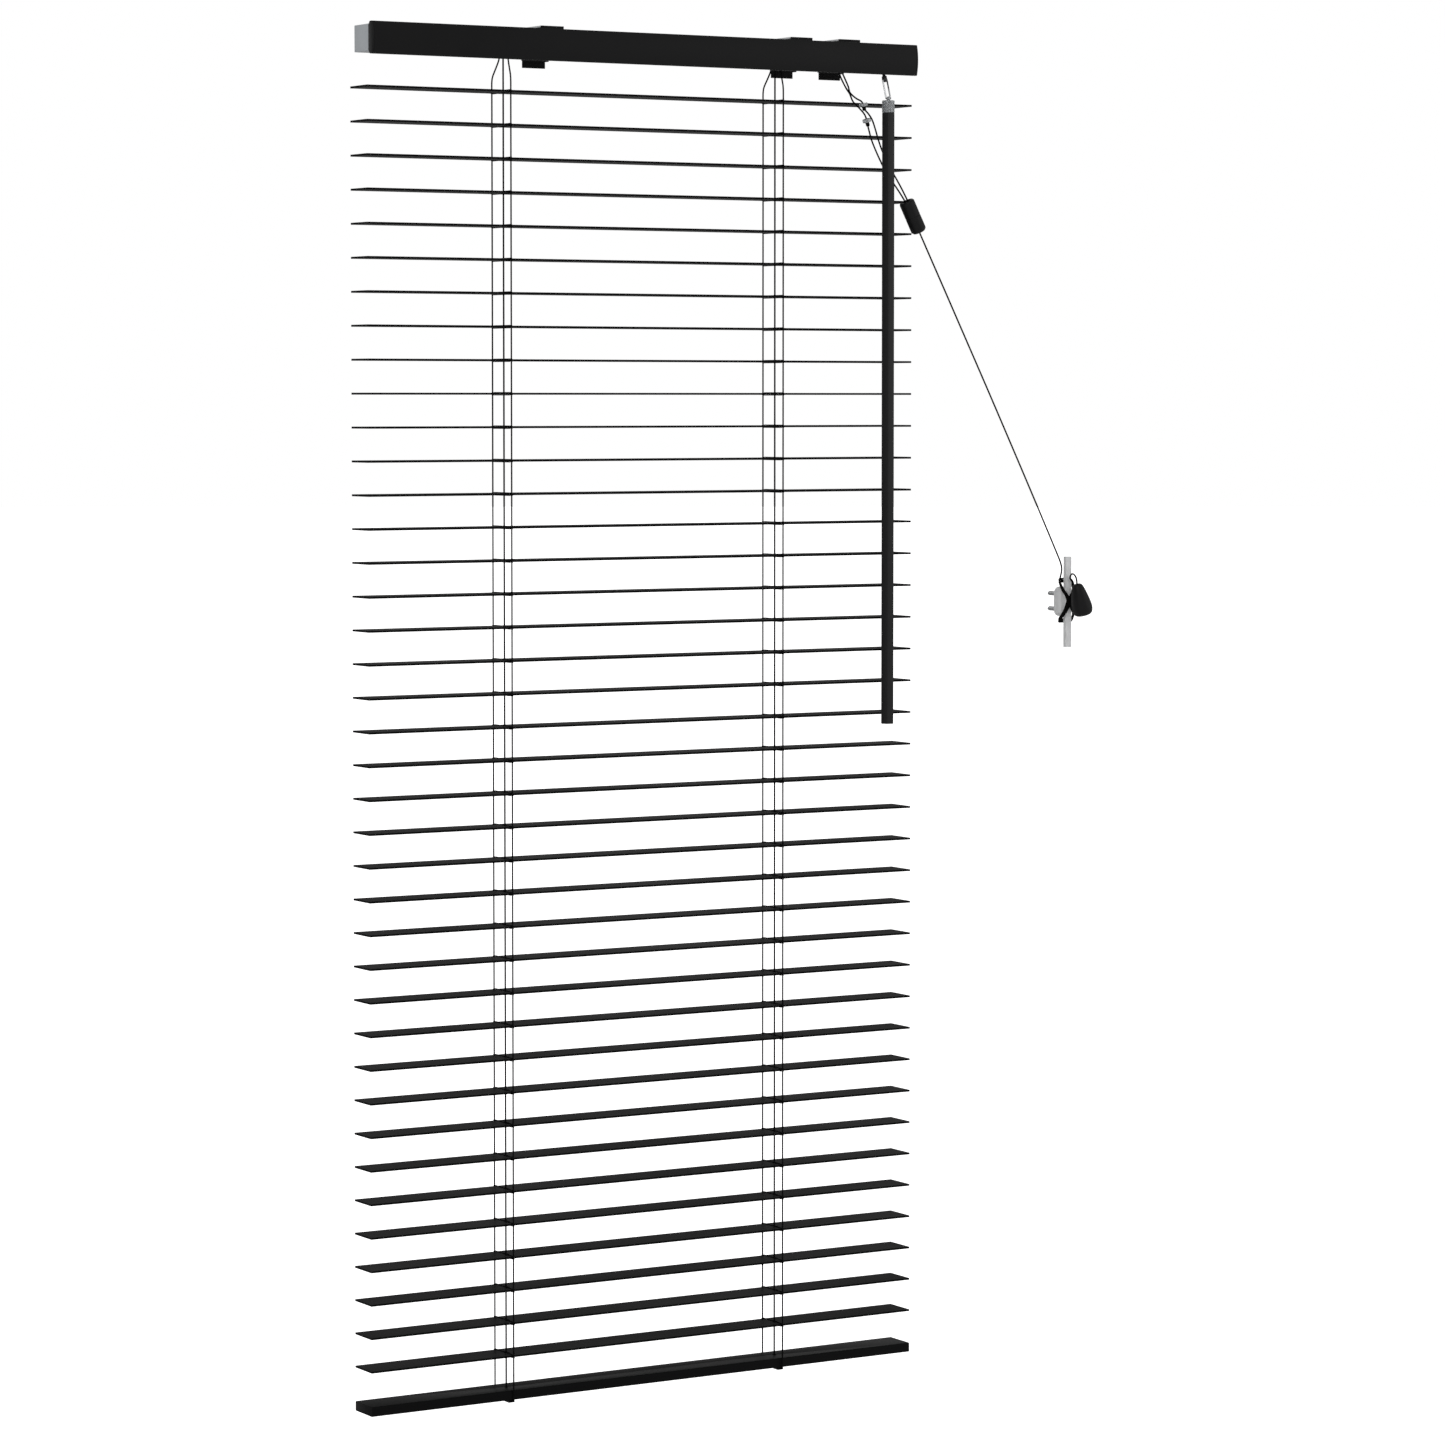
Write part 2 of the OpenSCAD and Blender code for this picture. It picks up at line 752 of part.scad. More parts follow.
head_rail();
rail_end_caps();
valance();
mounting_brackets();
bracket_catches();
rail_inserts();
tilt_rod();
tilt_gear();
ladder_drums();
tilt_worm();
lock_roller();
wand_connector();
tilt_wand();
ladder_cords(-1);  // ladder_front
ladder_cords(1);  // ladder_back
bottom_rail();
lift_cords();
pull_cords();
cleat_winding();
cord_cleat();
cord_pendants();
for (i = [1 : slat_count])
    slat(i);
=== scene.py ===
import json
import math
import bpy
import bmesh
from mathutils import Matrix, Vector

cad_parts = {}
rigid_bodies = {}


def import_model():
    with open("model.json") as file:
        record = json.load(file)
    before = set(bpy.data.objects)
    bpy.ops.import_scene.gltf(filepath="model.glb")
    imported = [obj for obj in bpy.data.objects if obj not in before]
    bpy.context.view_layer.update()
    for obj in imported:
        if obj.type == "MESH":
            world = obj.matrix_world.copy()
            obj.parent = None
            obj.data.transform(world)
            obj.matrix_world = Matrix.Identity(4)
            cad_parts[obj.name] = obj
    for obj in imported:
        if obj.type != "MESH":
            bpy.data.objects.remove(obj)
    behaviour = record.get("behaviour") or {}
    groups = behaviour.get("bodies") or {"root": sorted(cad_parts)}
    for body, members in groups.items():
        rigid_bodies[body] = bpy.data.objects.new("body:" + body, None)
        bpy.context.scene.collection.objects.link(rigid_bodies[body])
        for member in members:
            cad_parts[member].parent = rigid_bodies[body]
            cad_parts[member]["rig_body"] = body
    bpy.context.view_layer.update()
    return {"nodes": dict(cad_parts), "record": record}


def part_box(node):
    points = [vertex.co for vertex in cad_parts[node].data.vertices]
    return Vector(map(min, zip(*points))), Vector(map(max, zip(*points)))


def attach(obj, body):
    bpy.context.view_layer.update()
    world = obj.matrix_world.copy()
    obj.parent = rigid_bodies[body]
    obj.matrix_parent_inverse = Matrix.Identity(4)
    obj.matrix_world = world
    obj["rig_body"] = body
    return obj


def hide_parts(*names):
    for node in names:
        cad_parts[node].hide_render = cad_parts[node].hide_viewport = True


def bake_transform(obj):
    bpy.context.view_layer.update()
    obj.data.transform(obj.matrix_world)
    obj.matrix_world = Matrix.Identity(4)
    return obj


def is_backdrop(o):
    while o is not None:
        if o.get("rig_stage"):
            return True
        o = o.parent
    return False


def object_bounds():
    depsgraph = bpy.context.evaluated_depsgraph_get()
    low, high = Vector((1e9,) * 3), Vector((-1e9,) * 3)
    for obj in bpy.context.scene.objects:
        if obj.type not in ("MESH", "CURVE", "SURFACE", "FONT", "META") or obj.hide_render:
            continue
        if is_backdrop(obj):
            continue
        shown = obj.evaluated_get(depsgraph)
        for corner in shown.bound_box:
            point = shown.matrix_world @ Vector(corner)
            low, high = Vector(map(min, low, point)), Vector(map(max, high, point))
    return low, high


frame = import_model()
MM = 0.001

# ---- Camera ----
# The blind is seen from its left and from far off, at about the height of the
# tenth slat, so the slats above show their undersides and those below their tops.

camera = bpy.data.objects.new("camera", bpy.data.cameras.new("camera"))
bpy.context.scene.collection.objects.link(camera)
camera.location = (-1.5722, -2.8627, -0.2519)
camera.rotation_euler = (math.radians(90 - 3.009), 0, math.radians(-30.921))
camera.data.sensor_width = 36
camera.data.lens = 119.13
camera.data.shift_y = -0.05
camera.data.dof.use_dof = False
camera.data.clip_start = 0.1
bpy.context.scene.camera = camera


# ---- Pull cords ----
# Thin braided polyester cords, black. Two come out of the cord lock, cross, and
# meet in the condenser; one goes on to the cleat, is wound on it and ends in a tassel.

def add(tree, kind, inputs=None, **settings):
    """A new node in a shader or geometry tree; an input is a value or the socket that feeds it."""
    node = tree.nodes.new(kind)
    for key, value in settings.items():
        setattr(node, key, value)
    for key, value in (inputs or {}).items():
        if isinstance(value, bpy.types.NodeSocket):
            tree.links.new(value, node.inputs[key])
        else:
            node.inputs[key].default_value = value
    return node


def shader_group(name, inputs, outputs):
    """An empty shader node group, with its input and output nodes."""
    group = bpy.data.node_groups.new(name, "ShaderNodeTree")
    for label, kind, value in inputs:
        group.interface.new_socket(label, in_out="INPUT", socket_type=kind).default_value = value
    for label, kind in outputs:
        group.interface.new_socket(label, in_out="OUTPUT", socket_type=kind)
    return group, add(group, "NodeGroupInput"), add(group, "NodeGroupOutput")


def calc(tree, operation, first, second=0.0, third=0.0):
    """One arithmetic step in a node tree."""
    node = add(tree, "ShaderNodeMath", {0: first, 1: second, 2: third}, operation=operation)
    return node.outputs[0]


def blend_colour(tree, factor, first, second):
    """A mix of two colours in a node tree; the factor runs from the first to the second."""
    node = add(tree, "ShaderNodeMix", data_type="RGBA")
    for index, value in ((0, factor), (6, first), (7, second)):
        if isinstance(value, bpy.types.NodeSocket):
            tree.links.new(value, node.inputs[index])
        else:
            node.inputs[index].default_value = value
    return node.outputs[2]


# Braid: strands cross in two directions round the cord, and the valleys between them are
# painted darker as shade. U runs once round it, V is the distance along it in metres.
braid, given, result = shader_group(
    "braid",
    [("UV", "NodeSocketVector", (0, 0, 0)), ("Strand", "NodeSocketColor", (0.01, 0.01, 0.01, 1)),
     ("Valley", "NodeSocketColor", (0.002, 0.002, 0.002, 1)),
     ("Strands", "NodeSocketFloat", 4.0), ("Pitch", "NodeSocketFloat", 0.003)],
    [("Colour", "NodeSocketColor"), ("Height", "NodeSocketFloat")])
along = add(braid, "ShaderNodeSeparateXYZ", {0: given.outputs["UV"]})
round_it = calc(braid, "MULTIPLY", along.outputs[0], given.outputs["Strands"])
down_it = calc(braid, "DIVIDE", along.outputs[1], given.outputs["Pitch"])
waves = []
for turn in ("ADD", "SUBTRACT"):
    angle = calc(braid, "MULTIPLY", calc(braid, turn, round_it, down_it), 2 * math.pi)
    waves.append(calc(braid, "SINE", angle))
ridge = calc(braid, "MULTIPLY_ADD", calc(braid, "MAXIMUM", waves[0], waves[1]), 0.5, 0.5)
braid.links.new(ridge, result.inputs["Height"])
# The valley colour is painted shade: the strands' colour darkened where the braid dips.
shade = blend_colour(braid, ridge, given.outputs["Valley"], given.outputs["Strand"])
braid.links.new(shade, result.inputs["Colour"])


def material(name, roughness=0.5, **sockets):
    """A Principled material; returns it with its tree and its surface node."""
    made = bpy.data.materials.new(name)
    made.use_nodes = True
    surface = made.node_tree.nodes["Principled BSDF"]
    surface.inputs["Roughness"].default_value = roughness
    for label, value in sockets.items():
        surface.inputs[label.replace("_", " ").title().replace("Ior", "IOR")].default_value = value
    return made, made.node_tree, surface


def braided(name, strand, shaded_valley, strands=4.0, pitch=0.003, depth=0.00012):
    """Braided cord: strands, painted shade in the valleys between them, and a soft sheen."""
    made, tree, surface = material(name, roughness=0.85, specular_ior_level=0.08)
    coords = add(tree, "ShaderNodeTexCoord")
    weave = add(tree, "ShaderNodeGroup", node_tree=braid)
    for label, value in (("Strand", strand), ("Valley", shaded_valley), ("Strands", strands),
                         ("Pitch", pitch)):
        weave.inputs[label].default_value = value
    tree.links.new(coords.outputs["UV"], weave.inputs["UV"])
    tree.links.new(weave.outputs["Colour"], surface.inputs["Base Color"])
    bump = add(tree, "ShaderNodeBump", {"Height": weave.outputs["Height"], "Distance": depth})
    tree.links.new(bump.outputs[0], surface.inputs["Normal"])
    return made


# The second colour is the painted shade in the braid's valleys.
black_cord = braided("black_cord", (0.0035, 0.0035, 0.0037, 1), (0.0012, 0.0012, 0.0012, 1))


def link(name, mesh, finish):
    """Puts a mesh in the scene as a piece with its finish."""
    piece = bpy.data.objects.new(name, mesh)
    bpy.context.scene.collection.objects.link(piece)
    if finish is not None:
        mesh.materials.append(finish)
    return piece


def curve_through(points, step):
    """Points about `step` apart on a smooth curve through the given ones, in metres."""
    p = [Vector(q) * MM for q in points]
    p = [2 * p[0] - p[1]] + p + [2 * p[-1] - p[-2]]
    path = []
    for a, b, c, d in zip(p, p[1:], p[2:], p[3:]):
        chord = (c - b).length
        out = (c - a).normalized() * chord
        into = (d - b).normalized() * chord
        count = max(1, round(chord / step))
        for k in range(count):
            t = k / count
            path.append(b * (2 * t ** 3 - 3 * t ** 2 + 1) + out * (t ** 3 - 2 * t ** 2 + t)
                        + c * (3 * t ** 2 - 2 * t ** 3) + into * (t ** 3 - t ** 2))
    path.append(p[-2])
    return path


def tube(name, paths, diameter, finish, sides=10):
    """Closed tubes along one or more paths, with a UV map that follows them."""
    bm = bmesh.new()
    uv = bm.loops.layers.uv.new("UVMap")
    for path in paths:
        rings, run = [], [0.0]
        start = (path[1] - path[0]).normalized()
        side = Vector((0, 1, 0)) if abs(start.y) < 0.9 else Vector((1, 0, 0))
        for i, point in enumerate(path):
            ahead = (path[min(i + 1, len(path) - 1)] - path[max(i - 1, 0)]).normalized()
            side = (side - side.dot(ahead) * ahead).normalized()
            across = ahead.cross(side)
            angles = [2 * math.pi * k / sides for k in range(sides)]
            spokes = [side * math.cos(a) + across * math.sin(a) for a in angles]
            rings.append([bm.verts.new(point + spoke * diameter / 2) for spoke in spokes])
            if i:
                run.append(run[-1] + (point - path[i - 1]).length)
        for i in range(len(rings) - 1):
            for k in range(sides):
                m = (k + 1) % sides
                face = bm.faces.new((rings[i][k], rings[i][m], rings[i + 1][m], rings[i + 1][k]))
                face.smooth = True
                corners = ((k, i), (k + 1, i), (k + 1, i + 1), (k, i + 1))
                for loop, (u, v) in zip(face.loops, corners):
                    loop[uv].uv = (u / sides, run[v])
        bm.faces.new(rings[0][::-1])
        bm.faces.new(rings[-1])
    mesh = bpy.data.meshes.new(name)
    bm.to_mesh(mesh)
    bm.free()
    return link(name, mesh, finish)


CORD = 1.2 * MM
pull_left = [
    (234.5, -9, -22), (236, -11, -27), (238, -12.6, -33), (239, -13.2, -37), (243, -14.9, -41),
    (246.6, -16, -43), (248.2, -16.4, -45.4), (249.4, -16.4, -48.8), (252.5, -16, -51.5),
    (256, -15.4, -55.5), (259, -14.7, -61.5), (262, -14.1, -69), (265.5, -13.9, -77),
    (270.5, -13.9, -86.5), (275.5, -14.2, -94), (280, -16, -102.5), (283.5, -18, -110.5),
    (285, -18, -113.1)]
pull_right = [
    (232, -9, -22), (233.5, -10.6, -27.5), (236, -12.8, -34), (238, -14.4, -38),
    (240, -15.6, -43.4), (245, -16.2, -48), (249.2, -16.4, -52.3), (251.2, -16.2, -56.6),
    (253, -15.6, -62), (256, -15, -70), (260.5, -14.1, -78), (265.5, -13.9, -86.7),
    (270.5, -13.9, -94.4), (275.5, -14.4, -100.7), (279, -16.4, -106.7), (281.5, -18, -111.6),
    (282.9, -18, -114.2)]
pull_single = [
    (293.7, -18, -132.4), (295.8, -17.8, -136.4), (322.5, -13.6, -181.5), (372.5, -6.1, -267),
    (428.6, 2.2, -365.4), (433, 3.2, -375)]
tail = [
    (438.5, 0.3, -382.6), (438.4, -0.8, -380.4), (438.2, -3, -379.4), (438, -5.5, -379.8),
    (438, -7.6, -381.4), (438, -8.8, -384), (438.1, -9, -387.6)]

# Turns on the cleat: behind the upper horn, over the front to the lower left, behind
# the lower horn and back over the front, each turn beside the one before.
cleat_low, cleat_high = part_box("cord_cleat")
CLEAT = Vector((cleat_low.x + cleat_high.x, 0, cleat_low.z + cleat_high.z)) / 2 / MM
TURNS = 4


def on_cleat(x, y, z):
    """A place by its offsets across and up from the cleat's middle, and its own Y."""
    return (CLEAT.x + x, y, CLEAT.z + z)


winding = [on_cleat(-4.6, 6.4, 17.4), on_cleat(-3.3, 9.2, 16.0), on_cleat(0, 9.9, 15.2)]
for turn in range(TURNS):
    shift = 1.35 * (turn - 1.5)
    stack = 1.2 * turn
    up = 13.2 + stack
    down = -12.6 - 0.6 * stack
    back = 9.6 + 0.3 * turn
    side = 5.3 + 0.1 * turn
    winding += [on_cleat(3.4, 8.8, up + 0.3), on_cleat(side, 6.0, up - 1.0),
                on_cleat(4.7 + 0.3 * shift, 2.6, 8.6 + 0.5 * stack),
                on_cleat(2.7 + 0.7 * shift, 1.2, 5.2), on_cleat(shift, 1.2, 0),
                on_cleat(-2.7 + 0.7 * shift, 1.2, -5.2),
                on_cleat(-4.7 + 0.3 * shift, 2.6, -8.6 - 0.4 * stack),
                on_cleat(-side, 6.2, down + 0.8), on_cleat(-3.4, 8.8, down - 0.1),
                on_cleat(0, back, down - 0.2), on_cleat(3.4, 8.8, down - 0.1),
                on_cleat(side, 6.2, down + 0.8)]
    if turn == TURNS - 1:
        winding += [on_cleat(5.2, 2.2, -6), on_cleat(4.4, 0.2, 2), on_cleat(3.6, -0.3, 9),
                    on_cleat(2.2, 0.0, 14)]
        break
    winding += [on_cleat(4.7 + 0.3 * shift, 2.6, -8.6 - 0.4 * stack),
                on_cleat(2.7 + 0.7 * shift, 0.4, -5.2), on_cleat(shift, -0.1, 0),
                on_cleat(-2.7 + 0.7 * shift, 0.4, 5.2),
                on_cleat(-4.7 + 0.3 * shift, 2.6, 8.6 + 0.5 * stack),
                on_cleat(-side, 6.0, up + 0.2), on_cleat(-3.4, 8.8, up + 1.1),
                on_cleat(0, back, up + 1.2)]


def place(piece, slot, body, *nodes):
    """Gives a piece its body, and hides the CAD nodes that it stands for; the slot is not used."""
    if nodes:
        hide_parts(*nodes)
    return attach(piece, body)


def pull_cord(name, points, stands_for=(), **facts):
    """A pull cord along these points; the facts are not used."""
    path = curve_through(points, 0.8 * MM)
    piece = tube(name, [path], CORD, black_cord)
    place(piece, "cord_black", "blind", *stands_for)
    return piece


# ---- Cord stops, condenser and tassel ----
# Clear rings held by knots keep the cords out of the lock. The condenser is a black
# barrel in two halves that joins the cords, and the tassel a black moulded bell.

# Fine grain: soft unevenness of colour, gloss and surface, in Object coordinates.
fine_grain, given, result = shader_group(
    "fine_grain",
    [("Position", "NodeSocketVector", (0, 0, 0)), ("Dark", "NodeSocketColor", (0, 0, 0, 1)),
     ("Light", "NodeSocketColor", (1, 1, 1, 1)), ("Grain", "NodeSocketFloat", 900.0),
     ("Clouds", "NodeSocketFloat", 30.0), ("Smooth", "NodeSocketFloat", 0.3),
     ("Rough", "NodeSocketFloat", 0.5)],
    [("Colour", "NodeSocketColor"), ("Roughness", "NodeSocketFloat"),
     ("Height", "NodeSocketFloat")])
grain = add(fine_grain, "ShaderNodeTexNoise",
            {"Vector": given.outputs["Position"], "Scale": given.outputs["Grain"], "Detail": 3.0})
clouds = add(fine_grain, "ShaderNodeTexNoise",
             {"Vector": given.outputs["Position"], "Scale": given.outputs["Clouds"], "Detail": 2.0})
both = calc(fine_grain, "MULTIPLY_ADD", grain.outputs["Fac"], 0.4,
            calc(fine_grain, "MULTIPLY", clouds.outputs["Fac"], 0.6))
sharper = add(fine_grain, "ShaderNodeMapRange", {0: both, 1: 0.35, 2: 0.65})
mixed = blend_colour(fine_grain, sharper.outputs[0], given.outputs["Dark"], given.outputs["Light"])
fine_grain.links.new(mixed, result.inputs["Colour"])
gloss = add(fine_grain, "ShaderNodeMapRange",
            {0: both, 1: 0.35, 2: 0.65, 3: given.outputs["Smooth"], 4: given.outputs["Rough"]})
fine_grain.links.new(gloss.outputs[0], result.inputs["Roughness"])
fine_grain.links.new(grain.outputs["Fac"], result.inputs["Height"])


def grained(name, dark, light, smooth, rough, grain_size=1.1, clouds_size=30, depth=0.02,
            stretch=(1, 1, 1), **sockets):
    """A material with fine grain; sizes in millimetres."""
    made, tree, surface = material(name, **sockets)
    coords = add(tree, "ShaderNodeTexCoord")
    turned = add(tree, "ShaderNodeMapping", {"Vector": coords.outputs["Object"], "Scale": stretch})
    speck = add(tree, "ShaderNodeGroup", node_tree=fine_grain)
    tree.links.new(turned.outputs[0], speck.inputs["Position"])
    for label, value in (("Dark", (*dark, 1)), ("Light", (*light, 1)), ("Smooth", smooth),
                         ("Rough", rough), ("Grain", 1000 / grain_size),
                         ("Clouds", 1000 / clouds_size)):
        speck.inputs[label].default_value = value
    tree.links.new(speck.outputs["Colour"], surface.inputs["Base Color"])
    tree.links.new(speck.outputs["Roughness"], surface.inputs["Roughness"])
    bump = add(tree, "ShaderNodeBump", {"Height": speck.outputs["Height"], "Distance": depth * MM})
    tree.links.new(bump.outputs[0], surface.inputs["Normal"])
    return made


black_moulding = grained("black_moulding", (0.006, 0.006, 0.0063), (0.009, 0.009, 0.0095),
                         0.38, 0.52, grain_size=0.5, clouds_size=9, depth=0.01,
                         specular_ior_level=0.14)
clear_moulding = grained("clear_moulding", (0.62, 0.64, 0.66), (0.78, 0.80, 0.81), 0.12, 0.25,
                         grain_size=0.8, clouds_size=4, depth=0.03, transmission_weight=0.75,
                         ior=1.45)


def stand(points, start, end):
    """Turns points built round +Z so that +Z runs from start towards end."""
    start, end = Vector(start), Vector(end)
    turn = (end - start).to_track_quat("Z", "Y").to_matrix().to_4x4()
    return [Matrix.Translation(start) @ turn @ Vector(p) for p in points]


def lathe(name, profile, start, end, finish, sides=48, smooth_below=40):
    """A turned piece: (radius, height) pairs in millimetres, round the line from start to end."""
    bm = bmesh.new()
    rings = []
    for radius, height in profile:
        count = 1 if radius == 0 else sides
        ring = [(radius * math.cos(2 * math.pi * k / sides), radius * math.sin(2 * math.pi * k / sides),
                 height) for k in range(count)]
        rings.append([bm.verts.new(p * MM) for p in stand(ring, start, end)])
    for low, high in zip(rings, rings[1:]):
        for k in range(sides):
            m = (k + 1) % sides
            corners = [low[k % len(low)], low[m % len(low)], high[m % len(high)], high[k % len(high)]]
            bm.faces.new([v for i, v in enumerate(corners) if v not in corners[:i]])
    bmesh.ops.recalc_face_normals(bm, faces=bm.faces)
    return finished(name, bm, finish, smooth_below)


def finished(name, bm, finish, smooth_below=40):
    """Turns a bmesh into a piece; edges sharper than the angle stay sharp."""
    for face in bm.faces:
        face.smooth = True
    for edge in bm.edges:
        if len(edge.link_faces) == 2 and edge.calc_face_angle() > math.radians(smooth_below):
            edge.smooth = False
    mesh = bpy.data.meshes.new(name)
    bm.to_mesh(mesh)
    bm.free()
    return link(name, mesh, finish)


def rounded(profile, radius, steps=3):
    """Rounds the corners of a (radius, height) profile that stand between two straights."""
    out = [profile[0]]
    for a, b, c in zip(profile, profile[1:], profile[2:]):
        a, b, c = Vector(a), Vector(b), Vector(c)
        cut = min(radius, (a - b).length / 2, (c - b).length / 2)
        first, last = b + (a - b).normalized() * cut, b + (c - b).normalized() * cut
        for k in range(steps + 1):
            t = k / steps
            out.append(tuple(first * (1 - t) ** 2 + b * 2 * t * (1 - t) + last * t ** 2))
    return out + [profile[-1]]


stops = []
for number, (at, towards) in enumerate(
        (((248.2, -16.4, -45.4), (248.8, -16.4, -48)), ((251.1, -16.2, -56.4), (252, -16, -59))), 1):
    ring = rounded([(0.8, -1.1), (3.0, -1.1), (3.0, 1.1), (0.8, 1.1), (0.8, -1.1)], 0.35)
    stop = lathe(f"cord_stop_{number}", ring, at, towards, clear_moulding)
    knot = lathe(f"stop_knot_{number}",
                 [(0, 1.0), (0.9, 1.15), (1.35, 1.6), (1.5, 2.2), (1.2, 2.7), (1.45, 3.2), (1.2, 3.9),
                  (0.7, 4.3), (0, 4.4)], at, towards, black_cord, sides=20)
    stops += [stop, knot]

barrel = [(283.2, -18, -112.3), (294.4, -18, -133.8)]
BARREL_L = 24.24
condenser = lathe("condenser", rounded(
    [(0, 4), (2.9, 4), (2.9, 0), (4.7, 0), (5.5, 1.0), (5.5, 11.8), (5.25, 12.0), (5.25, 12.25),
     (5.5, 12.45), (5.5, BARREL_L - 1.6), (4.2, BARREL_L), (1.4, BARREL_L), (1.4, BARREL_L - 2),
     (0, BARREL_L - 2)], 0.5), *barrel, black_moulding)

bell = [(438, -9, -386.6), (444.2, -9, -409.5)]
tassel = lathe("tassel", rounded(
    [(0, 3.0), (1.2, 3.0), (1.2, 0.1), (2.6, 0.0), (3.9, 1.2), (5.0, 4.2), (6.1, 8.5), (7.1, 13.0),
     (7.65, 17.0), (7.5, 20.0), (6.6, 22.4), (5.0, 23.5), (3.6, 23.7), (3.2, 22.4), (0, 22.2)],
    2.0, 4),
    *bell, black_moulding, sides=64, smooth_below=50)
for piece in (*stops, condenser, tassel):
    place(piece, "cord_black" if "knot" in piece.name else "pendant_black", "blind")
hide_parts("cord_pendants")

pull_cord("pull_cord_left", pull_left, ["pull_cords"], far_end="fitting", lay="hanging",
          with_pieces=[condenser, stops[0], stops[1]])
pull_cord("pull_cord_right", pull_right, far_end="fitting", lay="hanging",
          with_pieces=[stops[2], stops[3]])
pull_cord("pull_cord_single", pull_single + winding + tail, ["cleat_winding"], far_end="fitting",
          lay="taut", with_pieces=[tassel])


# ---- Brackets ----
# Three pressed and plated steel plates, screwed up through two holes each. Black moulded
# catches at their front and back hold the head rail.

SLOTS = {part["node"]: part["material_slot"] for part in frame["record"]["subparts"]}


def soften(node, width, finish, sharp=30, segments=2):
    """A copy of a CAD node with its sharp edges rounded, which stands for the node."""
    bm = bmesh.new()
    bm.from_mesh(frame["nodes"][node].data)
    bmesh.ops.remove_doubles(bm, verts=bm.verts, dist=0.002 * MM)
    bmesh.ops.dissolve_limit(bm, angle_limit=math.radians(0.5), verts=bm.verts, edges=bm.edges)
    edges = [e for e in bm.edges
             if len(e.link_faces) == 2 and e.calc_face_angle() > math.radians(sharp)]
    bmesh.ops.bevel(bm, geom=edges, offset=width * MM, segments=segments, profile=0.5,
                    affect="EDGES", clamp_overlap=True)
    piece = finished(node + "_shown", bm, finish, 35)
    return place(piece, SLOTS[node], frame["nodes"][node]["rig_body"], node)


plated_steel = grained("plated_steel", (0.62, 0.63, 0.64), (0.70, 0.71, 0.72), 0.35, 0.48,
                       grain_size=0.6, clouds_size=14, depth=0.006, metallic=0.25)
matt_moulding = grained("matt_moulding", (0.005, 0.005, 0.0052), (0.008, 0.008, 0.0084),
                        0.5, 0.66, grain_size=0.4, clouds_size=8, depth=0.01,
                        specular_ior_level=0.12)
soften("mounting_brackets", 0.22, plated_steel)
soften("bracket_catches", 0.25, matt_moulding)


# ---- Head rail ----
# A roll-formed steel channel with inturned lips, painted grey, closed at each end by a
# pressed-in grey cap. It hangs in the catches.

grey_paint = grained("grey_paint", (0.33, 0.345, 0.36), (0.38, 0.395, 0.41), 0.35, 0.5,
                     grain_size=0.7, clouds_size=40, depth=0.008, specular_ior_level=0.4)
grey_moulding = grained("grey_moulding", (0.40, 0.425, 0.445), (0.46, 0.485, 0.505), 0.45, 0.6,
                        grain_size=0.5, clouds_size=12, depth=0.012, specular_ior_level=0.35)
soften("head_rail", 0.2, grey_paint)
soften("rail_end_caps", 0.3, grey_moulding)


# ---- Valance ----
# A black cover with a bowed front that hides the rail, clipped to the brackets' front
# hooks, with a separate flat cap at each end.

BLIND_X = (-139.3, 291.3)
CAP = 1.2
CAP_GAP = 0.05


def prism(name, outline, start, end, width, finish):
    """A solid of constant section along X, from (y, z) points in millimetres, with soft ends."""
    bm = bmesh.new()
    faces = [bm.faces.new([bm.verts.new((x * MM, y * MM, z * MM)) for y, z in outline])
             for x in (start, end)]
    count = len(outline)
    first, last = ([v for v in face.verts] for face in faces)
    for k in range(count):
        m = (k + 1) % count
        bm.faces.new((first[k], first[m], last[m], last[k]))
    bmesh.ops.recalc_face_normals(bm, faces=bm.faces)
    edges = [e for e in bm.edges if e.calc_face_angle() > math.radians(25)]
    bmesh.ops.bevel(bm, geom=edges, offset=width * MM, segments=3, profile=0.5, affect="EDGES")
    return finished(name, bm, finish, 35)


BOW = 1.5
TOP = -2.25
BOTTOM = -23.8
BACK = -14.3
FRONT = -19.4
half = (TOP - BOTTOM) / 2
bow_r = (half ** 2 + BOW ** 2) / (2 * BOW)
spread = math.asin(half / bow_r)
face_line = [spread * (1 - k / 12) for k in range(25)]
valance_line = [(BACK, BOTTOM + 2.5), (BACK, TOP - 2.5), (BACK - 2, TOP)]
valance_line += [(FRONT - BOW + bow_r * (1 - math.cos(a)), (TOP + BOTTOM) / 2 + bow_r * math.sin(a))
                 for a in face_line]
valance_line += [(BACK - 2, BOTTOM)]
black_satin = grained("black_satin", (0.0045, 0.0045, 0.0047), (0.0062, 0.0062, 0.0065), 0.42, 0.55,
                      grain_size=0.8, clouds_size=45, depth=0.004, specular_ior_level=0.13)
cover = prism("valance_cover", valance_line, BLIND_X[0] + CAP + CAP_GAP,
              BLIND_X[1] - CAP - CAP_GAP, 0.25, black_satin)
place(cover, "valance_black", "blind", "valance")
for side, start in (("left", BLIND_X[0]), ("right", BLIND_X[1] - CAP)):
    place(prism(f"valance_cap_{side}", valance_line, start, start + CAP, 0.3, black_moulding),
          "valance_black", "blind")


# ---- Tilt rod, gear and drums ----
# A drawn hexagonal steel rod runs through white moulded cradles. It carries two ladder
# drums and the tilter's gear, and cords wrap over the drums.

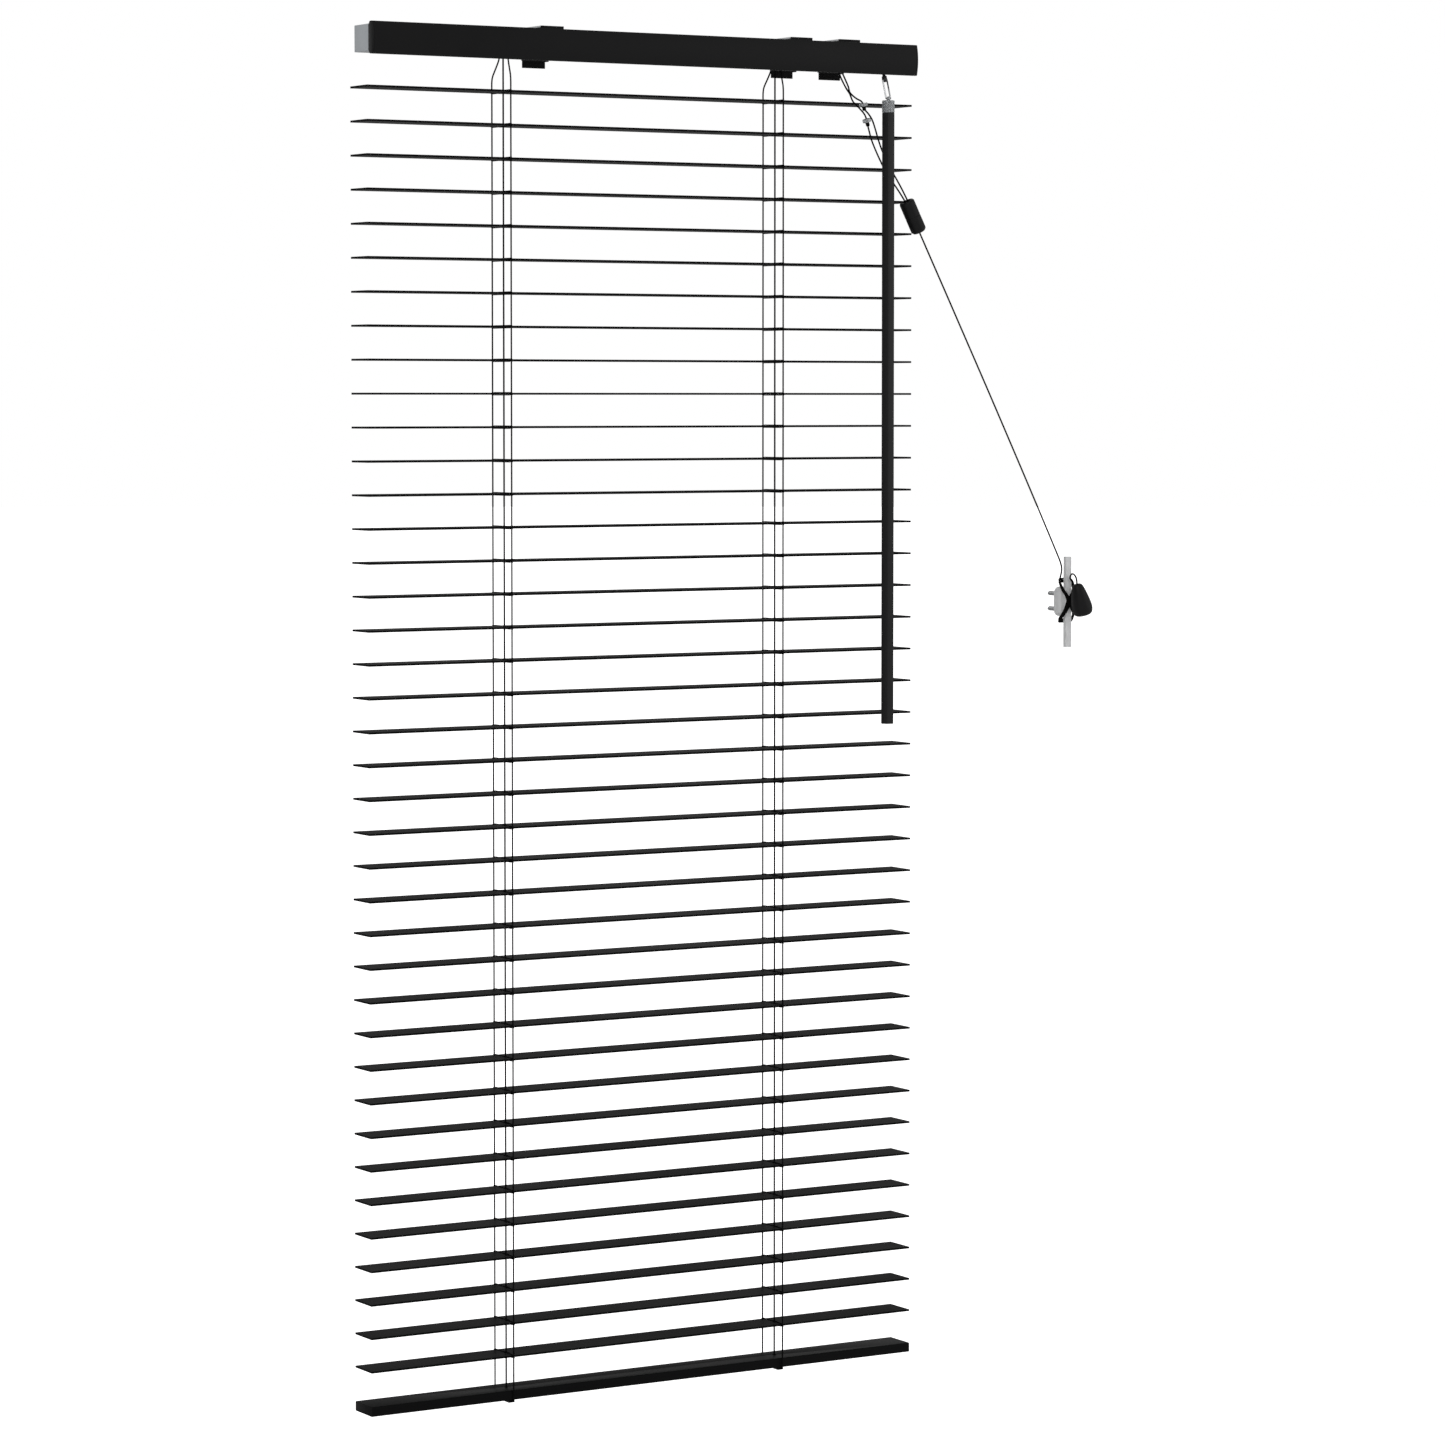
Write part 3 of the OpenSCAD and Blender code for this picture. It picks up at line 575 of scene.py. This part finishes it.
white_moulding = grained("white_moulding", (0.62, 0.63, 0.62), (0.70, 0.71, 0.70), 0.4, 0.55,
                         grain_size=0.5, clouds_size=10, depth=0.01, specular_ior_level=0.4)
drawn_steel = grained("drawn_steel", (0.42, 0.43, 0.44), (0.56, 0.57, 0.58), 0.25, 0.42,
                      grain_size=0.35, clouds_size=5, depth=0.006, stretch=(0.02, 1, 1),
                      metallic=0.95)
knurled_brass = grained("knurled_brass", (0.45, 0.30, 0.10), (0.62, 0.45, 0.18), 0.28, 0.42,
                        grain_size=0.35, clouds_size=3, depth=0.05, metallic=0.95)
soften("rail_inserts", 0.12, white_moulding)
soften("tilt_rod", 0.15, drawn_steel)
soften("tilt_gear", 0.08, white_moulding)
soften("ladder_drums", 0.2, white_moulding)
soften("lock_roller", 0.12, knurled_brass)

LADDER_X = (-31.8, 183.8)
ROD = (-3.4, -12)
LADDER_CORD = 1.1 * MM
WRAP = 6.25
wraps = [[Vector((x, ROD[0] + WRAP * math.cos(a), ROD[1] + WRAP * math.sin(a))) * MM
          for a in [math.pi * k / 24 for k in range(25)]] for x in LADDER_X]
place(tube("drum_wraps", wraps, LADDER_CORD, black_cord), "cord_black", "tilt_drive")


# ---- Tilter and wand ----
# A blackened worm turns the gear. Its stem ends in a bright wire loop, from which a clear
# moulded connector and a black hexagonal wand hang.

blackened = grained("blackened", (0.012, 0.012, 0.013), (0.022, 0.022, 0.023), 0.32, 0.45,
                    grain_size=0.3, clouds_size=4, depth=0.01, specular_ior_level=0.4)
bright_wire = grained("bright_wire", (0.60, 0.61, 0.62), (0.74, 0.75, 0.76), 0.18, 0.3,
                      grain_size=0.3, clouds_size=3, depth=0.006, metallic=0.9)
black_rod = grained("black_rod", (0.008, 0.008, 0.0083), (0.011, 0.011, 0.0114), 0.3, 0.42,
                    grain_size=0.5, clouds_size=30, depth=0.004, stretch=(1, 1, 0.08),
                    specular_ior_level=0.22)
soften("tilt_worm", 0.05, blackened)

EYE = Vector((267, -19.5, -40.6))
LEAN = math.radians(19.2)
up_stem = Vector((0, math.sin(LEAN), math.cos(LEAN)))
HALF = 1.8
RISE = 14.6
BEND = 0.9


def loop_point(across, rise):
    """A place in the wire loop's own plane, in metres."""
    return (EYE + Vector((across, 0, 0)) + up_stem * rise) * MM


bends = [math.pi * k / 12 for k in range(7)]
wire = [loop_point(HALF - BEND + BEND * math.cos(a), RISE - BEND + BEND * math.sin(a))
        for a in bends]
wire += [loop_point(-HALF + BEND - BEND * math.sin(a), RISE - BEND + BEND * math.cos(a))
         for a in bends]
low = [loop_point(-HALF + BEND - BEND * math.cos(a), BEND - BEND * math.sin(a)) for a in bends]
low += [loop_point(HALF - BEND + BEND * math.sin(a), BEND - BEND * math.cos(a)) for a in bends]
place(tube("wire_loop", [wire + low + wire[:1]], 1.12 * MM, bright_wire, 12), "worm_black", "worm")

soften("wand_connector", 0.2, clear_moulding)
soften("tilt_wand", 0.35, black_rod, segments=3)
ribs = [(3.6, 0.1)]
for k in range(5):
    ribs += [(4.3, 0.5 + 1.6 * k), (4.5, 0.7 + 1.6 * k), (4.5, 1.4 + 1.6 * k), (4.3, 1.6 + 1.6 * k)]
ribs += [(3.6, 8.55), (3.6, 0.1)]
place(lathe("connector_ribs", ribs, EYE + Vector((0, 0, -10)), EYE + Vector((0, 0, -1)),
            clear_moulding), "connector_clear", "wand")
pin = rounded([(0, 0), (0.75, 0), (0.75, -0.35), (0, -0.35)], 0.15)
place(lathe("wand_pin", pin, (267.3, -23.6, -61), (267.3, -25, -61), bright_wire, 20),
      "connector_clear", "wand")


# ---- Ladders ----
# Two string ladders of black braided cord hold the slats: a cord in front and one behind,
# from each drum to the clips under the bottom rail, knotted where a slat's rungs leave them.

LADDER_Y = 13.5
SLATS = 39
SLAT_PITCH = 22.645
TOP_SLAT_Z = -44.6
SLAT_Z = [TOP_SLAT_Z - SLAT_PITCH * i for i in range(SLATS)]
RAIL_Z = -931.9
FLOOR_Z = -21.2
CLIP_Z = RAIL_Z - 3.325


def geometry_tree(name, inputs):
    """An empty geometry node tree with named inputs, and its input node."""
    tree = bpy.data.node_groups.new(name, "GeometryNodeTree")
    tree.interface.new_socket("Geometry", in_out="OUTPUT", socket_type="NodeSocketGeometry")
    for label, kind in inputs:
        tree.interface.new_socket(label, in_out="INPUT", socket_type=kind)
    return tree, add(tree, "NodeGroupInput").outputs


def ends_with(tree, geometry, finish):
    """Closes a geometry tree: instances made real, and the material set."""
    real = add(tree, "GeometryNodeRealizeInstances", {0: geometry})
    painted = add(tree, "GeometryNodeSetMaterial", {"Geometry": real.outputs[0], "Material": finish})
    add(tree, "NodeGroupOutput", {0: painted.outputs[0]})


def grown(name, tree, finish, **values):
    """The mesh that a geometry tree makes from these inputs, as a piece."""
    piece = link(name, bpy.data.meshes.new(name), None)
    maker = piece.modifiers.new("maker", "NODES")
    maker.node_group = tree
    values["Finish"] = finish
    for socket in tree.interface.items_tree:
        if socket.in_out == "INPUT":
            maker[socket.identifier] = values[socket.name.replace(" ", "_")]
    shown = piece.evaluated_get(bpy.context.evaluated_depsgraph_get())
    mesh = bpy.data.meshes.new_from_object(shown)
    piece.modifiers.remove(maker)
    piece.data = mesh
    return piece


knots, given = geometry_tree("knots", [
    ("First", "NodeSocketVector"), ("Count", "NodeSocketInt"), ("Pitch", "NodeSocketVector"),
    ("Radius", "NodeSocketFloat"), ("Thread", "NodeSocketFloat"), ("Finish", "NodeSocketMaterial")])
levels = add(knots, "GeometryNodeMeshLine",
             {"Count": given["Count"], "Start Location": given["First"], "Offset": given["Pitch"]})
whipping = add(knots, "GeometryNodeCurveSpiral",
               {"Resolution": 14, "Rotations": 3.0, "Start Radius": given["Radius"],
                "End Radius": given["Radius"], "Height": 0.0016})
centred = add(knots, "GeometryNodeTransform",
              {"Geometry": whipping.outputs[0], "Translation": (0, 0, -0.0008)})
round_thread = add(knots, "GeometryNodeCurvePrimitiveCircle",
                   {"Resolution": 6, "Radius": given["Thread"]})
wound = add(knots, "GeometryNodeCurveToMesh",
            {"Curve": centred.outputs[0], "Profile Curve": round_thread.outputs[0],
             "Fill Caps": True})
placed = add(knots, "GeometryNodeInstanceOnPoints",
             {"Points": levels.outputs[0], "Instance": wound.outputs[0]})
ends_with(knots, placed.outputs[0], given["Finish"])


def ladder_top(x, side):
    """A ladder cord's way from its drum out to its own line, in front or behind."""
    out = ROD[0] + side * WRAP
    across = side * LADDER_Y - out
    return [(x, out, ROD[1]), (x, out, FLOOR_Z - 0.3), (x, out + across * 0.12, FLOOR_Z - 3),
            (x, out + across * 0.5, FLOOR_Z - 7.8), (x, out + across * 0.9, FLOOR_Z - 12.8),
            (x, side * LADDER_Y, FLOOR_Z - 16.5), (x, side * LADDER_Y, SLAT_Z[0])]


def ladder_foot(x, side):
    """A ladder cord's end, turned in at the clip under the bottom rail."""
    y = side * LADDER_Y
    return [(x, y, RAIL_Z), (x, y, CLIP_Z + 1.5), (x, y - side * 0.2, CLIP_Z - 0.1),
            (x, y - side, CLIP_Z - 0.75), (x, y - side * 2, CLIP_Z - 0.75),
            (x, side * 0.5, CLIP_Z - 0.75)]


for side, name in ((-1, "ladder_front"), (1, "ladder_back")):
    y = side * LADDER_Y
    tops = [curve_through(ladder_top(x, side), 1.5 * MM) for x in LADDER_X]
    upper = tube(name + "_top", tops, LADDER_CORD, black_cord, 8)
    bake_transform(upper)
    drops = [curve_through([(x, y, SLAT_Z[0]), (x, y, RAIL_Z)], 4 * MM) for x in LADDER_X]
    place(tube(name + "_cords", drops, LADDER_CORD, black_cord, 8), "cord_black", name, name)
    feet = [curve_through(ladder_foot(x, side), 1.0 * MM) for x in LADDER_X]
    place(tube(name + "_feet", feet, LADDER_CORD, black_cord, 8), "cord_black", "bottom_rail")
    for x, where in zip(LADDER_X, ("left", "right")):
        tied = grown(f"{name}_knots_{where}", knots, black_cord,
                     First=(x * MM, y * MM, SLAT_Z[0] * MM), Count=SLATS,
                     Pitch=(0, 0, -SLAT_PITCH * MM),
                     Radius=0.00058, Thread=0.0003)
        place(tied, "cord_black", name)


# ---- Slats ----
# Thirty-nine flat aluminium slats with a satin black stove enamel. The lift cords pass
# through a slot in each, and it lies on one thread and under another at each ladder.

satin_slat = grained("satin_slat", (0.0030, 0.0030, 0.0031), (0.0042, 0.0042, 0.0044), 0.5, 0.6,
                     grain_size=0.5, clouds_size=60, depth=0.002, stretch=(0.35, 1, 1),
                     specular_ior_level=0.035)

slat_tree, given = geometry_tree("slat", [
    ("Left", "NodeSocketVector"), ("Right", "NodeSocketVector"), ("Depth", "NodeSocketFloat"),
    ("Thickness", "NodeSocketFloat"), ("Rounding", "NodeSocketFloat"),
    ("First Slot", "NodeSocketVector"), ("Slot Spacing", "NodeSocketVector"),
    ("Slot Length", "NodeSocketFloat"), ("Slot Width", "NodeSocketFloat"),
    ("Finish", "NodeSocketMaterial")])


def rounded_quad(tree, width, height, radius, count):
    """A flat curve with four rounded corners, in a geometry tree."""
    quad = add(tree, "GeometryNodeCurvePrimitiveQuadrilateral", {"Width": width, "Height": height})
    return add(tree, "GeometryNodeFilletCurve",
               {"Curve": quad.outputs[0], "Radius": radius, "Count": count,
                "Limit Radius": True}, mode="POLY").outputs[0]


section = rounded_quad(slat_tree, given["Depth"], given["Thickness"], given["Rounding"], 3)
length = add(slat_tree, "GeometryNodeCurvePrimitiveLine",
             {"Start": given["Left"], "End": given["Right"]})
blank = add(slat_tree, "GeometryNodeCurveToMesh",
            {"Curve": length.outputs[0], "Profile Curve": section, "Fill Caps": True})
half_width = calc(slat_tree, "MULTIPLY", given["Slot Width"], 0.499)
outline = rounded_quad(slat_tree, given["Slot Width"], given["Slot Length"], half_width, 8)
drop = add(slat_tree, "GeometryNodeCurvePrimitiveLine",
           {"Start": (0, 0, -0.002), "End": (0, 0, 0.002)})
punch = add(slat_tree, "GeometryNodeCurveToMesh",
            {"Curve": drop.outputs[0], "Profile Curve": outline, "Fill Caps": True})
slot_points = add(slat_tree, "GeometryNodeMeshLine",
                  {"Count": 2, "Start Location": given["First Slot"],
                   "Offset": given["Slot Spacing"]})
punches = add(slat_tree, "GeometryNodeInstanceOnPoints",
              {"Points": slot_points.outputs[0], "Instance": punch.outputs[0]})
punched = add(slat_tree, "GeometryNodeMeshBoolean",
              {"Mesh 1": blank.outputs[0], "Mesh 2": punches.outputs[0]},
              operation="DIFFERENCE", solver="EXACT")
ends_with(slat_tree, punched.outputs[0], given["Finish"])

rungs, given = geometry_tree("rungs", [
    ("First", "NodeSocketVector"), ("Spacing", "NodeSocketVector"), ("Reach", "NodeSocketFloat"),
    ("Stand Off", "NodeSocketFloat"), ("Thread", "NodeSocketFloat"),
    ("Finish", "NodeSocketMaterial")])
behind = add(rungs, "ShaderNodeCombineXYZ", {1: given["Reach"]})
ahead = add(rungs, "ShaderNodeCombineXYZ", {1: calc(rungs, "MULTIPLY", given["Reach"], -1)})
straight = add(rungs, "GeometryNodeCurvePrimitiveLine",
               {"Start": ahead.outputs[0], "End": behind.outputs[0]})
divided = add(rungs, "GeometryNodeResampleCurve", {"Curve": straight.outputs[0], "Count": 41})
where = add(rungs, "ShaderNodeSeparateXYZ",
            {0: add(rungs, "GeometryNodeInputPosition").outputs[0]})
from_end = calc(rungs, "SUBTRACT", given["Reach"], calc(rungs, "ABSOLUTE", where.outputs[1]))
lift = add(rungs, "ShaderNodeMapRange",
           {0: from_end, 1: 0.0, 2: 0.0015, 3: 0.0, 4: given["Stand Off"]},
           interpolation_type="SMOOTHSTEP")
threads = []
for sign in (1, -1):
    offset = add(rungs, "ShaderNodeCombineXYZ",
                 {0: calc(rungs, "MULTIPLY", lift.outputs[0], 0.4 * sign),
                  2: calc(rungs, "MULTIPLY", lift.outputs[0], sign)})
    moved = add(rungs, "GeometryNodeSetPosition",
                {"Geometry": divided.outputs[0], "Offset": offset.outputs[0]})
    circle = add(rungs, "GeometryNodeCurvePrimitiveCircle",
                 {"Resolution": 6, "Radius": given["Thread"]})
    threads.append(add(rungs, "GeometryNodeCurveToMesh",
                       {"Curve": moved.outputs[0], "Profile Curve": circle.outputs[0],
                        "Fill Caps": True}).outputs[0])
pair = add(rungs, "GeometryNodeJoinGeometry")
for thread in threads:
    rungs.links.new(thread, pair.inputs[0])
at_ladders = add(rungs, "GeometryNodeMeshLine",
                 {"Count": 2, "Start Location": given["First"], "Offset": given["Spacing"]})
tied_on = add(rungs, "GeometryNodeInstanceOnPoints",
              {"Points": at_ladders.outputs[0], "Instance": pair.outputs[0]})
ends_with(rungs, tied_on.outputs[0], given["Finish"])

LIFT_OFFSET = 1.45
ladder_gap = (LADDER_X[1] - LADDER_X[0]) * MM
SLOT_X = (LADDER_X[0] + LIFT_OFFSET) * MM
for number, height in enumerate(SLAT_Z, 1):
    z = height * MM
    name = f"slat_{number:02d}"
    slat = grown(name + "_shown", slat_tree, satin_slat,
                 Left=(BLIND_X[0] * MM, 0, z), Right=(BLIND_X[1] * MM, 0, z), Depth=0.025,
                 Thickness=0.00135, Rounding=0.0003, First_Slot=(SLOT_X, 0, z),
                 Slot_Spacing=(ladder_gap, 0, 0), Slot_Length=0.008, Slot_Width=0.0028)
    for face in slat.data.polygons:
        face.use_smooth = False
    place(slat, "slat_black", name, name)
    tied = grown(name + "_rungs", rungs, black_cord, First=(LADDER_X[0] * MM, 0, z),
                 Spacing=(ladder_gap, 0, 0), Reach=LADDER_Y * MM, Stand_Off=0.00095,
                 Thread=0.00026)
    place(tied, "cord_black", name)


# ---- Bottom rail ----
# A heavier black enamelled bar. A black clip under each ladder holds the ends of the
# ladder cords, and the lift cords are knotted inside.

rail_enamel = grained("rail_enamel", (0.0034, 0.0034, 0.0036), (0.0048, 0.0048, 0.005), 0.5, 0.6,
                      grain_size=0.5, clouds_size=50, depth=0.003, stretch=(0.35, 1, 1),
                      specular_ior_level=0.05)
soften("bottom_rail", 0.2, rail_enamel)


# ---- Lift cords ----
# One black braided cord beside each ladder, from the bottom rail up through the slats,
# over the cradle and along the head rail to the cord lock.

RUN_Z = -19.1


def lift_rise(x):
    """A lift cord's way up through the slats and over the cradle."""
    return [(x, 0, RAIL_Z + 1), (x, 0, -20.9), (x + 0.3, 0, -20), (x + 1, 0, -19.3),
            (x + 2.2, 0, RUN_Z)]


lift_left = lift_rise(LADDER_X[0] + LIFT_OFFSET) + [
    (172, 6, RUN_Z), (196, 6, RUN_Z), (220, -7.4, RUN_Z), (224.5, -8.3, RUN_Z),
    (231.6, -8.4, RUN_Z), (233.3, -8.5, -19.5), (234.3, -8.8, -20.6), (234.5, -9, -22)]
lift_right = lift_rise(LADDER_X[1] + LIFT_OFFSET) + [
    (191, -0.4, RUN_Z), (219, -9.2, RUN_Z), (223, -9.8, RUN_Z), (229.4, -9.8, RUN_Z),
    (230.9, -9.7, -19.5), (231.8, -9.3, -20.6), (232, -9, -22)]


def straight_runs(points, step):
    """Points about `step` apart on the straight lines between the given ones, in metres."""
    path = []
    for a, b in zip(points, points[1:]):
        a, b = Vector(a) * MM, Vector(b) * MM
        count = max(1, round((b - a).length / step))
        path += [a.lerp(b, k / count) for k in range(count)]
    return path + [Vector(points[-1]) * MM]


lifting = tube("lift_cords_shown", [straight_runs(route, 3 * MM) for route in (lift_left, lift_right)],
               CORD, black_cord, 8)
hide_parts("lift_cords")
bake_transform(lifting)


# ---- Cleat ----
# A translucent moulded cleat with two horns, on two steel screws that stand out behind
# it and go into the wall.

frosted = grained("frosted", (0.76, 0.765, 0.77), (0.86, 0.865, 0.87), 0.3, 0.42, grain_size=0.6,
                  clouds_size=6, depth=0.02, transmission_weight=0.3, ior=1.45,
                  specular_ior_level=0.4)
screw_steel = grained("screw_steel", (0.24, 0.245, 0.25), (0.34, 0.345, 0.35), 0.3, 0.45,
                      grain_size=0.3, clouds_size=3, depth=0.01, metallic=0.8)
soften("cord_cleat", 0.35, frosted)

SHANK_R = 1.32
THREAD_R = 1.62
THREAD_PITCH = 0.85
SCREW_L = 12.64
thread = [(0, 0), (SHANK_R, 0), (SHANK_R, 2.5)]
for k in range(11):
    step = THREAD_PITCH * k
    thread += [(SHANK_R, 2.6 + step), (THREAD_R, 2.9 + step), (THREAD_R, 3.0 + step)]
thread += [(SHANK_R, 12.2), (1.31, SCREW_L), (0, SCREW_L)]
for where, side in (("low", -1), ("high", 1)):
    z = CLEAT.z + 5.6 * side
    screw = lathe(f"cleat_screw_{where}", thread, (CLEAT.x, 14.47, z), (CLEAT.x, 27.1, z),
                  screw_steel, sides=24)
    place(screw, "cleat_clear", "blind")


# ---- Floor and light ----
# A pale floor under the blind, a white room round it and two soft lamps.

floor_finish, tree, surface = material("pale_floor", roughness=0.9)
coords = add(tree, "ShaderNodeTexCoord")
mottle = add(tree, "ShaderNodeTexNoise", {"Vector": coords.outputs["Object"], "Scale": 3.0})
pale = blend_colour(tree, mottle.outputs["Fac"], (0.86, 0.86, 0.86, 1), (0.9, 0.9, 0.9, 1))
tree.links.new(pale, surface.inputs["Base Color"])
seen = add(tree, "ShaderNodeLightPath")
surface.inputs["Emission Color"].default_value = (1, 1, 1, 1)
glow = add(tree, "ShaderNodeMapRange", {0: seen.outputs["Is Camera Ray"], 3: 0.1, 4: 1.0})
tree.links.new(glow.outputs[0], surface.inputs["Emission Strength"])
bm = bmesh.new()
bmesh.ops.create_circle(bm, cap_ends=True, segments=96, radius=30)
mesh = bpy.data.meshes.new("floor")
bm.to_mesh(mesh)
bm.free()
floor = link("floor", mesh, floor_finish)
floor.location = (0, 0, -1.0)
floor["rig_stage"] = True

world = bpy.data.worlds.new("room")
bpy.context.scene.world = world
world.use_nodes = True
tree = world.node_tree
seen = add(tree, "ShaderNodeLightPath")
background = tree.nodes["Background"]
background.inputs["Color"].default_value = (1, 1, 1, 1)
strength = add(tree, "ShaderNodeMapRange", {0: seen.outputs["Is Camera Ray"], 3: 0.5, 4: 1.0})
tree.links.new(strength.outputs[0], background.inputs["Strength"])

lamps = [("key", (-1.6, -2.2, 1.4), 22, 1.6), ("fill", (2.0, -1.8, 0.3), 9, 1.8)]
for name, stands_at, power, size in lamps:
    lamp = bpy.data.lights.new(name, "AREA")
    lamp.energy = power
    lamp.size = size
    holder = bpy.data.objects.new(name, lamp)
    bpy.context.scene.collection.objects.link(holder)
    holder.location = stands_at
    aim_at = Vector((0.1, 0, -0.45)) - Vector(stands_at)
    holder.rotation_euler = aim_at.to_track_quat("-Z", "Y").to_euler()
bpy.context.scene.view_settings.view_transform = "Standard"


low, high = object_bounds()
